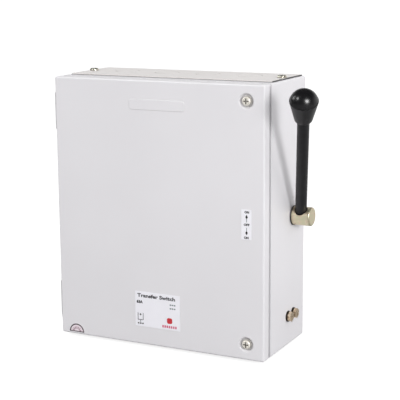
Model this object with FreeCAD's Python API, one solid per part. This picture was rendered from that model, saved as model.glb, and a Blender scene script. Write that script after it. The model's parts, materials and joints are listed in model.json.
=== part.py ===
import FreeCAD, Part
import math
import os

# Manual changeover (transfer) switch in a wall-mounted sheet-steel case.
#
# Frame, millimetres: origin at the centre of the case's back face, which lies on the wall.
# +X points to the side with the handle, +Y into the wall, +Z up, so the door faces -Y.
# The switch and its shaft are modelled about z = 0. They are moved down by mechanism_drop when written.
# The handle is modelled in position I (up). Position 0 is half way, position II is down.

Vector = FreeCAD.Vector
X_AXIS = Vector(1, 0, 0)
Y_AXIS = Vector(0, 1, 0)
Z_AXIS = Vector(0, 0, 1)

# ---------------------------------------------------------------- driving dimensions
case_width = 258.0
case_height = 300.0
case_depth = 114.5          # wall to front of door
sheet = 1.2                 # case and door steel
fold_radius = 2.0           # outside radius of a fold

door_depth = 12.5           # depth of the door's folded edge
door_gap = 5.0              # open joint between door edge and case
rim_inset = 5.0             # case rim, measured in from the case's side
gasket_gap = 0.3            # between gasket and rim, with the door closed
gasket_thickness = 5.0
gasket_width = 5.0

shaft_y = -33.5             # switch shaft, parallel to X
mechanism_drop = 2.5        # switch and shaft sit this far below the case's mid height
shaft_square = 10.0
journal_radius = 4.9
running_clearance = 0.06    # radial, shaft in a bearing and pin in a knuckle

handle_lean = 33.0          # degrees forward of upright, in positions I and II
handle_splay = 12.85        # degrees outward from the shaft's cross plane
handle_length = 168.3       # shaft axis to the inner end of the rod in the knob
handle_x = 138.0            # where the rod's axis meets the shaft's axis

pole_count = 4
pole_pitch = 44.0
first_pole_x = -84.0
blade_reach = 46.0
blade_thickness = 3.0
contact_gap = 0.3           # between a blade and each leaf of its clip

hinge_x = -133.0            # door hinge axis, parallel to Z
hinge_z = (110.0, -112.0)   # centres of the two hinges
hinge_length = 41.0

door_screw_x = 108.0
door_screw_z = 132.5
bolt_radius = 3.0

# ---------------------------------------------------------------- derived dimensions
half_width = case_width / 2
half_height = case_height / 2
door_front = -case_depth
door_edge = door_front + door_depth
body_front = door_edge + door_gap
door_skin_back = door_front + sheet
gasket_front = door_skin_back
gasket_back = gasket_front + gasket_thickness
rim_front = gasket_back + gasket_gap
rim_half_width = half_width - rim_inset
rim_half_height = half_height - rim_inset
hinge_y = door_edge
pole_xs = [first_pole_x + i * pole_pitch for i in range(pole_count)]
shaft_centre = Vector(0, shaft_y, 0)


# ---------------------------------------------------------------- helpers
def block(x, y, z):
    """Box between the limits of three (low, high) pairs."""
    return Part.makeBox(x[1] - x[0], y[1] - y[0], z[1] - z[0], Vector(x[0], y[0], z[0]))


def cylinder(start, direction, radius, length):
    return Part.makeCylinder(radius, length, start, direction)


def tube(start, direction, outer, inner, length):
    return cylinder(start, direction, outer, length).cut(cylinder(start, direction, inner, length))


def along_x(x0, x1, y, z, radius):
    return cylinder(Vector(x0, y, z), X_AXIS, radius, x1 - x0)


def along_y(x, z, y0, y1, radius):
    return cylinder(Vector(x, y0, z), Y_AXIS, radius, y1 - y0)


def fuse(shapes):
    result = shapes[0]
    for shape in shapes[1:]:
        result = result.fuse(shape)
    return result.removeSplitter()


def cut(shape, tools):
    for tool in tools:
        shape = shape.cut(tool)
    return shape


def placed(shape, position, direction):
    """Moves a shape built along +Z from the origin so that it starts at position, along direction."""
    copy = shape.copy()
    copy.Placement = FreeCAD.Placement(position, FreeCAD.Rotation(Z_AXIS, direction))
    return copy


def turned(shape, degrees):
    """Turns a shape about the switch shaft. Positive carries +Z towards -Y."""
    copy = shape.copy()
    copy.rotate(shaft_centre, X_AXIS, degrees)
    return copy


def mirrored_in_z(shape):
    return shape.mirror(Vector(0, 0, 0), Z_AXIS)


def revolved(points):
    """Solid of revolution about +Z. Points are (radius, height) pairs of a closed outline."""
    corners = [Vector(r, 0, h) for r, h in points]
    face = Part.Face(Part.makePolygon(corners + [corners[0]]))
    return face.revolve(Vector(0, 0, 0), Z_AXIS, 360)


def rounded(shape, radius, chosen):
    """Rounds the edges that chosen(edge) picks."""
    return shape.makeFillet(radius, [edge for edge in shape.Edges if chosen(edge)])


def is_along(edge, axis):
    direction = edge.tangentAt(edge.FirstParameter)
    return edge.Curve.TypeId == "Part::GeomLine" and abs(abs(direction.dot(axis)) - 1) < 1e-6


def prism(half_w, half_h, y0, y1, corner_radius):
    """Rectangle in the XZ plane with rounded corners, centred on Y, drawn out from y0 to y1."""
    solid = block((-half_w, half_w), (y0, y1), (-half_h, half_h))
    return rounded(solid, corner_radius, lambda edge: is_along(edge, Y_AXIS))


def frame_ring(half_w, half_h, width, y0, y1, corner_radius):
    outer = prism(half_w, half_h, y0, y1, corner_radius)
    return outer.cut(prism(half_w - width, half_h - width, y0, y1, corner_radius - width))


def folded_box(half_w, half_h, y_open, y_closed, radius):
    """Solid box whose edges are all rounded, except those round the open face."""
    solid = block((-half_w, half_w), sorted((y_open, y_closed)), (-half_h, half_h))
    return rounded(solid, radius, lambda edge: any(abs(v.Y - y_open) > 1e-6 for v in edge.Vertexes))


def tray(y_open, y_closed):
    """Folded sheet-steel tray of the case's outline, open towards y_open."""
    inward = math.copysign(sheet, y_open - y_closed)
    outer = folded_box(half_width, half_height, y_open, y_closed, fold_radius)
    inner = folded_box(half_width - sheet, half_height - sheet, y_open, y_closed + inward,
                       fold_radius - sheet)
    return outer.cut(inner)


def hexagon(across_flats, height):
    """Hexagonal prism along +Z from the origin."""
    corner = across_flats / 2 / math.cos(math.pi / 6)
    angles = [math.radians(60 * i) for i in range(7)]
    outline = Part.makePolygon([Vector(corner * math.cos(a), corner * math.sin(a), 0) for a in angles])
    return Part.Face(outline).extrude(Vector(0, 0, height))


def pan_screw(seat, direction, head_radius, head_height, shank_radius, shank_length, recess="cross",
              recess_turn=0.0):
    """Pan-head screw. seat is the point under the head, direction is the way it is driven.

    recess_turn is in degrees about the screw's axis.
    """
    crown = 0.35 * head_height
    head = revolved([(0, 0), (head_radius, 0), (head_radius, crown - head_height),
                     (head_radius - crown, -head_height), (0, -head_height)])
    head = rounded(head, 0.45 * crown, lambda edge: abs(edge.BoundBox.ZMax + head_height - crown) < 1e-6
                   and abs(edge.BoundBox.ZMin + head_height - crown) < 1e-6)
    shank = cylinder(Vector(0, 0, 0), Z_AXIS, shank_radius, shank_length)
    screw = fuse([head, shank])
    reach, half_slot, depth = 0.64 * head_radius, 0.14 * head_radius, 0.55 * head_height
    if recess == "slot":
        reach = head_radius + 1
    floor = (-head_height - 1, -head_height + depth)
    slots = [block((-reach, reach), (-half_slot, half_slot), floor)]
    if recess == "cross":
        slots.append(block((-half_slot, half_slot), (-reach, reach), floor))
    screw = cut(screw, slots)
    screw.rotate(Vector(0, 0, 0), Z_AXIS, recess_turn)
    return placed(screw, seat, direction)


def save(name, solids):
    """Writes one node. Every piece has to be a valid closed solid."""
    for solid in solids:
        if not solid.isValid() or len(solid.Solids) != 1 or solid.Volume <= 0:
            raise ValueError(name + " has a piece that is not one valid solid")
    pieces = [solid.Solids[0] for solid in solids]
    shape = pieces[0] if len(pieces) == 1 else Part.makeCompound(pieces)
    shape.exportStep("parts/" + name + ".step")
    print(name, len(pieces), round(sum(piece.Volume for piece in pieces)))


def save_lowered(name, solids):
    """Writes one node of the switch, moved from z = 0 down to the shaft's real height."""
    save(name, [solid.translated(Vector(0, 0, -mechanism_drop)) for solid in solids])


# ---------------------------------------------------------------- case
wall_hole_x, wall_hole_z, wall_hole_radius = 90.0, 120.0, 3.5
cable_cutout_half_x = 106.0
cable_cutout_y = (-76.0, -14.0)
gland_thickness = 1.5
gland_half_x = 125.0
gland_y = (-85.0, -3.0)
gland_screw_x, gland_screw_y, gland_screw_radius = 119.0, -45.0, 2.4
knockout_xs = (-78.0, -26.0, 26.0, 78.0)
knockout_y, knockout_radius = -38.0, 14.0
earth_bolt_ys = (-47.6, -32.3)
earth_bolt_z = -116.0
bush_radius = 7.5


def make_case_body():
    body = tray(body_front, 0)
    outline = folded_box(half_width, half_height, body_front, 0, fold_radius)
    lip_zone = (body_front, body_front + sheet)
    lip = outline.common(block((-half_width, half_width), lip_zone, (-half_height, half_height)))
    lip = lip.cut(prism(rim_half_width - sheet, rim_half_height - sheet, *lip_zone, 2.8))
    rim = frame_ring(rim_half_width, rim_half_height, sheet, rim_front, lip_zone[1], 4.0)
    body = fuse([body, lip, rim])

    holes = [along_y(x, z, -5, 5, wall_hole_radius)
             for x in (-wall_hole_x, wall_hole_x) for z in (-wall_hole_z, wall_hole_z)]
    holes.append(along_x(half_width - 5, half_width + 5, shaft_y, -mechanism_drop, bush_radius))
    holes += [along_x(half_width - 5, half_width + 5, y, earth_bolt_z, bolt_radius) for y in earth_bolt_ys]
    for z in (-half_height - 5, half_height - 5):
        cutout = block((-cable_cutout_half_x, cable_cutout_half_x), cable_cutout_y, (z, z + 10))
        holes.append(rounded(cutout, 6.0, lambda edge: is_along(edge, Z_AXIS)))
        holes += [cylinder(Vector(x, gland_screw_y, z), Z_AXIS, gland_screw_radius, 10)
                  for x in (-gland_screw_x, gland_screw_x)]
    return cut(body, holes)


def make_gland_plate():
    """Top plate over the cable cut-out, with four knockouts marked by a pressed groove."""
    top = half_height + gland_thickness
    plate = block((-gland_half_x, gland_half_x), gland_y, (half_height, top))
    plate = rounded(plate, 3.0, lambda edge: is_along(edge, Z_AXIS))
    groove_depth, groove_width, bridge = 0.6, 0.9, 3.0
    for x in knockout_xs:
        start = Vector(x, knockout_y, top - groove_depth)
        groove = tube(start, Z_AXIS, knockout_radius, knockout_radius - groove_width, groove_depth)
        reach = knockout_radius + 1
        bridges = block((x - reach, x + reach), (knockout_y - bridge / 2, knockout_y + bridge / 2),
                        (top - groove_depth, top))
        plate = plate.cut(groove.cut(bridges))
    return cut(plate, [cylinder(Vector(x, gland_screw_y, half_height - 1), Z_AXIS, gland_screw_radius, 5)
                       for x in (-gland_screw_x, gland_screw_x)])


def make_gland_screws():
    seat_z = half_height + gland_thickness
    top = [pan_screw(Vector(x, gland_screw_y, seat_z), -Z_AXIS, 5.2, 2.6, gland_screw_radius, 10)
           for x in (-gland_screw_x, gland_screw_x)]
    return top + [mirrored_in_z(screw) for screw in top]


def make_lock_bracket():
    """Upper bracket inside the case that takes the end of a door screw, with its weld nut."""
    plate_y = (-94.0, -92.0)
    inner_wall = half_width - sheet
    z_range = (door_screw_z - 10, door_screw_z + 10)
    plate = block((door_screw_x - 10, inner_wall), plate_y, z_range)
    tab = block((inner_wall - 2, inner_wall), (plate_y[0], -76.0), z_range)
    nut = placed(hexagon(10.0, 3.0), Vector(door_screw_x, plate_y[1], door_screw_z), Y_AXIS)
    bracket = fuse([plate, tab, nut])
    return bracket.cut(along_y(door_screw_x, door_screw_z, -100, -80, 3.1))


def make_earth_bolts():
    """Two hexagon bolts through the handle side, each with a washer outside and a nut inside."""
    bolts, washers, nuts = [], [], []
    thickness, head_height = 1.2, 4.2
    seat = half_width + thickness
    for y in earth_bolt_ys:
        centre = Vector(seat, y, earth_bolt_z)
        head = placed(hexagon(10.0, head_height), centre, X_AXIS)
        chamfer = placed(Part.makeCone(8.3, 5.0, head_height + 1.3), centre, X_AXIS)
        shank = along_x(half_width - 14, seat, y, earth_bolt_z, bolt_radius)
        bolts.append(fuse([head.common(chamfer), shank]))
        washers.append(tube(Vector(half_width, y, earth_bolt_z), X_AXIS, 6.2, bolt_radius, thickness))
        nut = placed(hexagon(10.0, 5.0), Vector(half_width - sheet - 5, y, earth_bolt_z), X_AXIS)
        nuts.append(nut.cut(along_x(half_width - 20, half_width, y, earth_bolt_z, bolt_radius)))
    return bolts, washers, nuts


def make_shaft_bush():
    """Moulded bush in the case's side, round the shaft."""
    flange = along_x(half_width, half_width + 0.8, shaft_y, 0, bush_radius + 2)
    barrel = along_x(half_width - 7, half_width, shaft_y, 0, bush_radius)
    bore = along_x(half_width - 10, half_width + 5, shaft_y, 0, journal_radius + running_clearance)
    return fuse([flange, barrel]).cut(bore)


# ---------------------------------------------------------------- hinges
leaf_thickness = 1.2
knuckle_radius = 3.6
pin_radius = 1.5
knuckle_gap = 0.3
middle_knuckle = 20.0
tongue_reach = 3.9          # from the pin's axis to the flat of a leaf
case_leaf_reach, door_leaf_reach = 26.0, 10.0
pin_cap_radius, pin_cap_height = 2.6, 1.2


def hinge_leaf(centre_z, plate_y, tongue_y, knuckles, bore_radius):
    """Leaf on the left side: a flat plate, joined by a tongue to each of its knuckles."""
    outer_x = (-half_width - leaf_thickness, -half_width)
    half = hinge_length / 2
    parts = [block(outer_x, plate_y, (centre_z - half, centre_z + half))]
    for low, high in knuckles:
        span = (centre_z + low, centre_z + high)
        parts.append(block(outer_x, tongue_y, span))
        parts.append(cylinder(Vector(hinge_x, hinge_y, span[0]), Z_AXIS, knuckle_radius, high - low))
    bore = cylinder(Vector(hinge_x, hinge_y, centre_z - half - 1), Z_AXIS, bore_radius, hinge_length + 2)
    return fuse(parts).cut(bore)


def make_case_leaf(centre_z):
    half, inner = hinge_length / 2, middle_knuckle / 2 + knuckle_gap
    return hinge_leaf(centre_z, (hinge_y + tongue_reach, hinge_y + case_leaf_reach),
                      (hinge_y, hinge_y + tongue_reach), [(-half, -inner), (inner, half)], pin_radius)


def make_door_leaf(centre_z):
    half = middle_knuckle / 2
    return hinge_leaf(centre_z, (hinge_y - door_leaf_reach, hinge_y - tongue_reach),
                      (hinge_y - tongue_reach, hinge_y), [(-half, half)], pin_radius + running_clearance)


def make_hinge_pin(centre_z):
    bottom = centre_z - hinge_length / 2
    pin = cylinder(Vector(hinge_x, hinge_y, bottom), Z_AXIS, pin_radius, hinge_length)
    caps = [cylinder(Vector(hinge_x, hinge_y, z), Z_AXIS, pin_cap_radius, pin_cap_height)
            for z in (bottom - pin_cap_height, bottom + hinge_length)]
    return fuse([pin] + caps)


# ---------------------------------------------------------------- door
dimple_radius, dimple_floor_radius, dimple_depth = 8.6, 6.5, 2.5
screw_hole_radius = 3.0
door_screw_turns = {"upper": 15.0, "lower": 30.0}   # degrees, how the cross recesses stand
washer_thickness = 0.8
label_thickness = 0.3
rating_label_centre, rating_label_size = (-1.0, -108.3), (57.0, 41.0)
position_label_centre, position_label_size = (108.3, 1.0), (12.0, 33.0)
badge_centre, badge_radius = (-108.5, -147.2), 9.75
relief_x, relief_z, relief_height = (-33.0, 35.0), (117.5, 129.0), 0.5


def make_dimple(z):
    """Pressed seat for a door screw, drawn in from the front skin."""
    back = sheet + dimple_depth
    rim = dimple_radius + 0.7
    cup = revolved([(rim, 0), (dimple_radius, 0), (dimple_floor_radius, dimple_depth),
                    (screw_hole_radius, dimple_depth), (screw_hole_radius, back),
                    (dimple_floor_radius + 0.4, back), (dimple_radius + 0.4, sheet), (rim, sheet)])
    front_edges = (dimple_radius, dimple_floor_radius)
    cup = rounded(cup, 0.6, lambda edge: edge.BoundBox.ZMax < back - 1e-6
                  and any(abs(edge.BoundBox.XMax - r) < 1e-6 for r in front_edges))
    return placed(cup, Vector(door_screw_x, door_front, z), Y_AXIS)


def make_door_panel():
    panel = tray(door_edge, door_front)
    hole_radius = dimple_radius + 0.7
    for z in (door_screw_z, -door_screw_z):
        panel = panel.cut(along_y(door_screw_x, z, door_front - 1, door_skin_back + 1, hole_radius))
        panel = panel.fuse(make_dimple(z))
    relief = block(relief_x, (door_front - relief_height, door_front), relief_z)
    relief = rounded(relief, 3.0, lambda edge: is_along(edge, Y_AXIS))
    relief = rounded(relief, 0.4, lambda edge: edge.BoundBox.YMax < door_front - relief_height + 1e-6)
    return panel.fuse(relief).removeSplitter()


def make_gasket():
    centre = rim_inset + sheet / 2
    outer_w = half_width - centre + gasket_width / 2
    outer_h = half_height - centre + gasket_width / 2
    return frame_ring(outer_w, outer_h, gasket_width, gasket_front, gasket_back, gasket_width + 3)


def make_label(centre, size):
    half_w, half_h = size[0] / 2, size[1] / 2
    return block((centre[0] - half_w, centre[0] + half_w), (door_front - label_thickness, door_front),
                 (centre[1] - half_h, centre[1] + half_h))


def make_badge():
    """Half-round sticker, flat side down."""
    x, z = badge_centre
    disc = along_y(x, z, door_front - label_thickness, door_front, badge_radius)
    return disc.common(block((x - badge_radius, x + badge_radius), (door_front - 1, door_front),
                             (z, z + badge_radius)))


def door_screw_seat(z):
    """Point under the head, on top of the washer."""
    return Vector(door_screw_x, door_front + dimple_depth - washer_thickness, z)


def make_door_screw(z, recess_turn):
    return pan_screw(door_screw_seat(z), Y_AXIS, 4.8, 3.0, 2.5, 24.8, recess_turn=recess_turn)


def make_screw_washer(z):
    return tube(door_screw_seat(z), Y_AXIS, 6.0, 2.5 + running_clearance, washer_thickness)


# ---------------------------------------------------------------- switch frame
plate_back, plate_front = -6.2, -8.2
plate_x = (-122.0, 114.0)
plate_half_z = 82.0
plate_screw_xs = (-117.0, 108.0)
plate_screw_z = 68.0
bearing_left = (-114.0, -111.0)
bearing_right = (98.0, 101.0)
bearing_right_foot_end = 112.0
bearing_front, bearing_half_z, bearing_foot = -56.0, 20.0, 2.0
bearing_screw_xs, bearing_screw_z = (-118.0, 106.5), 13.0
mechanism_screw_radius = 2.0
barrier_half_thickness = 1.0
barrier_front, barrier_half_z = -70.0, 80.0
barrier_shaft_hole = 12.0


def make_mounting_plate():
    plate = block(plate_x, (plate_front, plate_back), (-plate_half_z, plate_half_z))
    plate = rounded(plate, 4.0, lambda edge: is_along(edge, Y_AXIS))
    holes = [along_y(x, z, -10, -5, 2.5) for x in plate_screw_xs for z in (-plate_screw_z, plate_screw_z)]
    holes += [along_y(x, z, -10, -5, mechanism_screw_radius) for x, _, z in mechanism_screw_seats()]
    return cut(plate, holes)


def mechanism_screw_seats():
    """Points under the heads of the screws that hold the pole bases and the bearing plates."""
    seats = [(x + base_screw_offset, base_front, z) for x in pole_xs for z in (-base_screw_z, base_screw_z)]
    seats += [(x, plate_front - bearing_foot, z)
              for x in bearing_screw_xs for z in (-bearing_screw_z, bearing_screw_z)]
    return seats


def make_bearing_plate(web_x, foot_x):
    """Angle plate that carries one end of the shaft."""
    web = block(web_x, (bearing_front, plate_front), (-bearing_half_z, bearing_half_z))
    web = rounded(web, 10.0, lambda edge: is_along(edge, X_AXIS) and edge.BoundBox.YMax < bearing_front + 1)
    foot = block(foot_x, (plate_front - bearing_foot, plate_front), (-bearing_half_z, bearing_half_z))
    bore = along_x(web_x[0] - 1, web_x[1] + 1, shaft_y, 0, journal_radius + running_clearance)
    holes = [along_y(x, z, -12, -5, mechanism_screw_radius) for x, _, z in mechanism_screw_seats()]
    return cut(fuse([web, foot]), [bore] + holes)


def make_index_spring():
    """Leaf spring that presses the index roller towards the cam."""
    width = (index_x[0] - 1, index_x[1] + 1)
    leaf_z = index_roller_z + index_roller_radius
    leaf = block(width, (index_spring_front, plate_front), (leaf_z, leaf_z + index_spring_thickness))
    foot = block(width, (plate_front - index_spring_thickness, plate_front), (leaf_z, leaf_z + 22))
    return fuse([leaf, foot])


def make_phase_barrier(x):
    sides = (x - barrier_half_thickness, x + barrier_half_thickness)
    barrier = block(sides, (barrier_front, plate_front), (-barrier_half_z, barrier_half_z))
    barrier = rounded(barrier, 8.0,
                      lambda edge: is_along(edge, X_AXIS) and edge.BoundBox.YMax < barrier_front + 1)
    return barrier.cut(along_x(sides[0] - 1, sides[1] + 1, shaft_y, 0, barrier_shaft_hole))


# ---------------------------------------------------------------- poles
base_front = -13.2
tower_front = -47.0
tower_z = (50.0, 75.0)
base_half_width = 20.0
base_screw_offset, base_screw_z = -12.0, 32.0
strap = 2.5                 # copper thickness
leaf_low = blade_thickness / 2 + contact_gap
leaf_high = leaf_low + 1.5
terminal_radius = 2.5
supply_terminal_z = 66.0
load_terminal_x, load_terminal_z = 11.0, -15.5
load_pad_front = -62.3
disc_radius = 15.0
sleeve_radius = 9.5


def terminal_seats(x):
    """Points under the heads of one pole's three terminal screws."""
    seats = [Vector(x, tower_front - strap, z) for z in (supply_terminal_z, -supply_terminal_z)]
    return seats + [Vector(x + load_terminal_x, load_pad_front, load_terminal_z)]


def make_terminal_screw(seat):
    return pan_screw(seat, Y_AXIS, 4.4, 3.0, terminal_radius, 10.0, "slot")


def make_pole_base(x):
    """Insulating base of one pole: a back plate with a tower for each supply."""
    sides = (x - base_half_width, x + base_half_width)
    back = block(sides, (base_front, plate_front), (-tower_z[1], tower_z[1]))
    tower = block(sides, (tower_front, base_front), tower_z)
    tower = rounded(tower, 1.5, lambda edge: edge.BoundBox.YMax < tower_front + 1e-6)
    recesses = [block((x + side * 14 - 3, x + side * 14 + 3), (tower_front - 1, tower_front + 10),
                      (tower_z[0] - 1, tower_z[1] - 5)) for side in (-1, 1)]
    tower = cut(tower, recesses)
    holes = [along_y(x + base_screw_offset, z, -20, -5, mechanism_screw_radius)
             for z in (-base_screw_z, base_screw_z)]
    holes += [along_y(x, z, tower_front - 1, tower_front + 10, terminal_radius)
              for z in (supply_terminal_z, -supply_terminal_z)]
    return cut(fuse([back, tower, mirrored_in_z(tower)]), holes)


def make_upper_contact(x):
    """Supply contact: a terminal strap on the tower, and a clip of two leaves for the blade."""
    pad = block((x - 8, x + 8), (tower_front - strap, tower_front), (52.0, 74.0))
    parts = [pad]
    for low, high in ((leaf_low, leaf_high), (-leaf_high, -leaf_low)):
        sides = (x + low, x + high)
        grip = block(sides, (shaft_y - 8, shaft_y + 8), (34.0, 50.0))
        grip = rounded(grip, 2.0, lambda edge: is_along(edge, X_AXIS))
        neck = block(sides, (tower_front - 8.0, tower_front), (42.0, 56.0))
        parts += [turned(grip, handle_lean), neck]
    return fuse(parts).cut(along_y(x, supply_terminal_z, -60, -40, terminal_radius))


def make_load_contact(x):
    """Common contact: a clip round the blade's disc, and a bar that comes forward to the terminal."""
    clip_zone = (-23.2, base_front)
    leaves = [block((x + low, x + high), clip_zone, (-10, 10))
              for low, high in ((leaf_low, leaf_high), (-leaf_high, -leaf_low))]
    bar_x = (x + 14.0, x + 14.0 + strap)
    foot = block((x - 8, bar_x[1]), (base_front - strap, base_front), (-23, 10))
    bar = block(bar_x, (load_pad_front, base_front), (-23, -11.5))
    pad = block((x + 5.5, bar_x[1]), (load_pad_front, load_pad_front + strap), (-23, -8))
    screw_hole = along_y(x + load_terminal_x, load_terminal_z, -70, -50, terminal_radius)
    return fuse(leaves + [foot, bar, pad]).cut(screw_hole)


# ---------------------------------------------------------------- rotor: shaft, blades and handle
shaft_left, shaft_square_x, shaft_right = -117.0, (-110.7, 94.0), 148.0
index_x = (82.0, 88.0)
index_cam_radius = 18.0
index_notch_radius, index_notch_reach = 4.0, 1.5    # reach of its centre beyond the cam
index_roller_radius = 3.2
index_roller_gap = 0.3      # between the roller and the cam's largest radius
index_roller_z = index_cam_radius + index_roller_gap + index_roller_radius
index_spring_front, index_spring_thickness = -46.0, 1.0
hub_x = (130.2, 151.8)
hub_radius = 10.5
rod_radius = 6.4
rod_seat = 6.5
stud_radius = 3.0
rod_hole_radius = 7.2
dome_radius, dome_centre = 15.1, -0.5               # centre's height along the rod, from the rod's end
knob_rim_height = 2.9

lean, splay = math.radians(handle_lean), math.radians(handle_splay)
rod_direction = Vector(math.sin(splay), -math.cos(splay) * math.sin(lean),
                       math.cos(splay) * math.cos(lean))
rod_root = Vector(handle_x, shaft_y, 0)


def on_rod(distance):
    return rod_root + rod_direction * distance


def square_bar(x_range):
    half = shaft_square / 2
    return turned(block(x_range, (shaft_y - half, shaft_y + half), (-half, half)), handle_lean)


def make_switch_shaft():
    left = along_x(shaft_left, shaft_square_x[0], shaft_y, 0, journal_radius)
    right = along_x(shaft_square_x[1], shaft_right, shaft_y, 0, journal_radius)
    stud_hole = cylinder(on_rod(-12), rod_direction, stud_radius, 24)
    return fuse([left, square_bar(shaft_square_x), right]).cut(stud_hole)


def make_handle_hub():
    hub = along_x(hub_x[0], hub_x[1], shaft_y, 0, hub_radius)
    hub = rounded(hub, 1.6, lambda edge: edge.BoundBox.XMin > hub_x[1] - 1e-6)
    hub = rounded(hub, 0.4, lambda edge: edge.BoundBox.XMax < hub_x[0] + 1e-6)
    tools = [along_x(hub_x[0] - 1, shaft_right, shaft_y, 0, journal_radius),
             cylinder(on_rod(rod_seat), rod_direction, rod_hole_radius, 20),
             cylinder(on_rod(-8), rod_direction, stud_radius, 20)]
    return cut(hub, tools)


def make_handle_rod():
    """Steel rod, with a stud on its lower end that passes through the hub and the shaft."""
    stud = cylinder(on_rod(-8), rod_direction, stud_radius, 8 + rod_seat)
    bar = cylinder(on_rod(rod_seat), rod_direction, rod_radius, handle_length - rod_seat)
    return fuse([stud, bar])


def make_handle_knob():
    """Dome on a tapered skirt, moulded in one piece, with a blind hole for the rod.

    The skirt's points are (radius, height along the rod), from the knob's widest ring downward.
    """
    rim_angle = math.asin((knob_rim_height - dome_centre) / dome_radius)
    middle_angle = (rim_angle + math.pi / 2) / 2
    middle, dome_edge = [Vector(dome_radius * math.cos(a), 0, dome_centre + dome_radius * math.sin(a))
                         for a in (middle_angle, rim_angle)]
    top, bottom = Vector(0, 0, dome_centre + dome_radius), -23.8
    skirt = [(15.1, 2.8), (15.0, 2.2), (14.55, 0), (11.75, -12.4), (9.5, -22.2), (8.9, -23.3), (8.2, bottom),
             (rod_radius, bottom), (rod_radius, 0), (0, 0)]
    corners = [dome_edge] + [Vector(radius, 0, height) for radius, height in skirt] + [top]
    edges = [Part.Arc(top, middle, dome_edge).toShape()]
    edges += [Part.makeLine(a, b) for a, b in zip(corners, corners[1:])]
    knob = Part.Face(Part.Wire(edges)).revolve(Vector(0, 0, 0), Z_AXIS, 360)
    return placed(knob, on_rod(handle_length), rod_direction)


def make_rotor_sleeve():
    """Insulating sleeve that carries the four blades on the square shaft."""
    ends = (pole_xs[0] - base_half_width, pole_xs[-1] + base_half_width)
    return along_x(ends[0], ends[1], shaft_y, 0, sleeve_radius).cut(square_bar(ends))


def make_blade(x):
    """Knife blade: a disc round the sleeve with one arm, which points up in position I."""
    half = blade_thickness / 2
    disc = along_x(x - half, x + half, shaft_y, 0, disc_radius)
    arm = block((x - half, x + half), (shaft_y - 6, shaft_y + 6), (0, blade_reach))
    arm = rounded(arm, 3.0, lambda edge: is_along(edge, X_AXIS) and edge.BoundBox.ZMin > 1)
    hole = along_x(x - half - 1, x + half + 1, shaft_y, 0, sleeve_radius)
    return turned(fuse([disc, arm]).cut(hole), handle_lean)


def make_index_cam():
    """Disc with one notch for each handle position."""
    cam = along_x(index_x[0], index_x[1], shaft_y, 0, index_cam_radius)
    notch_z = index_cam_radius + index_notch_reach
    notch = along_x(index_x[0] - 1, index_x[1] + 1, shaft_y, notch_z, index_notch_radius)
    throw = 90.0 - handle_lean
    notches = [turned(notch, -throw * i) for i in range(3)]
    return cut(cam, notches + [square_bar(index_x)])


# ---------------------------------------------------------------- write every node
os.makedirs("parts", exist_ok=True)

earth_bolts, earth_washers, earth_nuts = make_earth_bolts()
gland_plate = make_gland_plate()
lock_bracket = make_lock_bracket()

save("case_body", [make_case_body()])
save("top_gland_plate", [gland_plate])
save("bottom_gland_plate", [mirrored_in_z(gland_plate)])
save("gland_plate_screws", make_gland_screws())
save("lock_brackets", [lock_bracket, mirrored_in_z(lock_bracket)])
save("earth_bolts", earth_bolts)
save("earth_washers", earth_washers)
save("earth_nuts", earth_nuts)
save_lowered("shaft_bush", [make_shaft_bush()])

save("case_hinge_leaves", [make_case_leaf(z) for z in hinge_z])
save("door_hinge_leaves", [make_door_leaf(z) for z in hinge_z])
save("hinge_pins", [make_hinge_pin(z) for z in hinge_z])

save("door_panel", [make_door_panel()])
save("door_gasket", [make_gasket()])
save("rating_label", [make_label(rating_label_centre, rating_label_size)])
save("position_label", [make_label(position_label_centre, position_label_size)])
save("quality_badge", [make_badge()])
for place, z in (("upper", door_screw_z), ("lower", -door_screw_z)):
    save(place + "_door_screw", [make_door_screw(z, door_screw_turns[place])])
    save(place + "_screw_washer", [make_screw_washer(z)])

save_lowered("mounting_plate", [make_mounting_plate()])
plate_fixings = [(x, z) for x in plate_screw_xs for z in (-plate_screw_z, plate_screw_z)]
save_lowered("plate_spacers", [tube(Vector(x, plate_back, z), Y_AXIS, 5.0, 2.5, -plate_back - sheet)
                               for x, z in plate_fixings])
save_lowered("plate_screws", [pan_screw(Vector(x, plate_front, z), Y_AXIS, 4.6, 3.0, 2.5, 6.5)
                              for x, z in plate_fixings])
save_lowered("left_bearing_plate", [make_bearing_plate(bearing_left, (plate_x[0], bearing_left[1]))])
right_foot_x = (bearing_right[0], bearing_right_foot_end)
save_lowered("right_bearing_plate", [make_bearing_plate(bearing_right, right_foot_x)])
save_lowered("mechanism_screws", [pan_screw(Vector(*seat), Y_AXIS, 3.8, 2.6, mechanism_screw_radius,
                                            plate_back - seat[1]) for seat in mechanism_screw_seats()])
save_lowered("index_spring", [make_index_spring()])
save_lowered("index_roller", [along_x(index_x[0], index_x[1], shaft_y, index_roller_z, index_roller_radius)])
save_lowered("phase_barriers", [make_phase_barrier(pole_xs[0] + (i - 0.5) * pole_pitch)
                                for i in range(pole_count + 1)])

for number, pole_x in enumerate(pole_xs, start=1):
    upper_contact = make_upper_contact(pole_x)
    save_lowered("pole_base_%d" % number, [make_pole_base(pole_x)])
    save_lowered("upper_contact_%d" % number, [upper_contact])
    save_lowered("lower_contact_%d" % number, [mirrored_in_z(upper_contact)])
    save_lowered("load_contact_%d" % number, [make_load_contact(pole_x)])
    save_lowered("moving_blade_%d" % number, [make_blade(pole_x)])
save_lowered("terminal_screws", [make_terminal_screw(seat) for pole_x in pole_xs
                                 for seat in terminal_seats(pole_x)])

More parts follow.
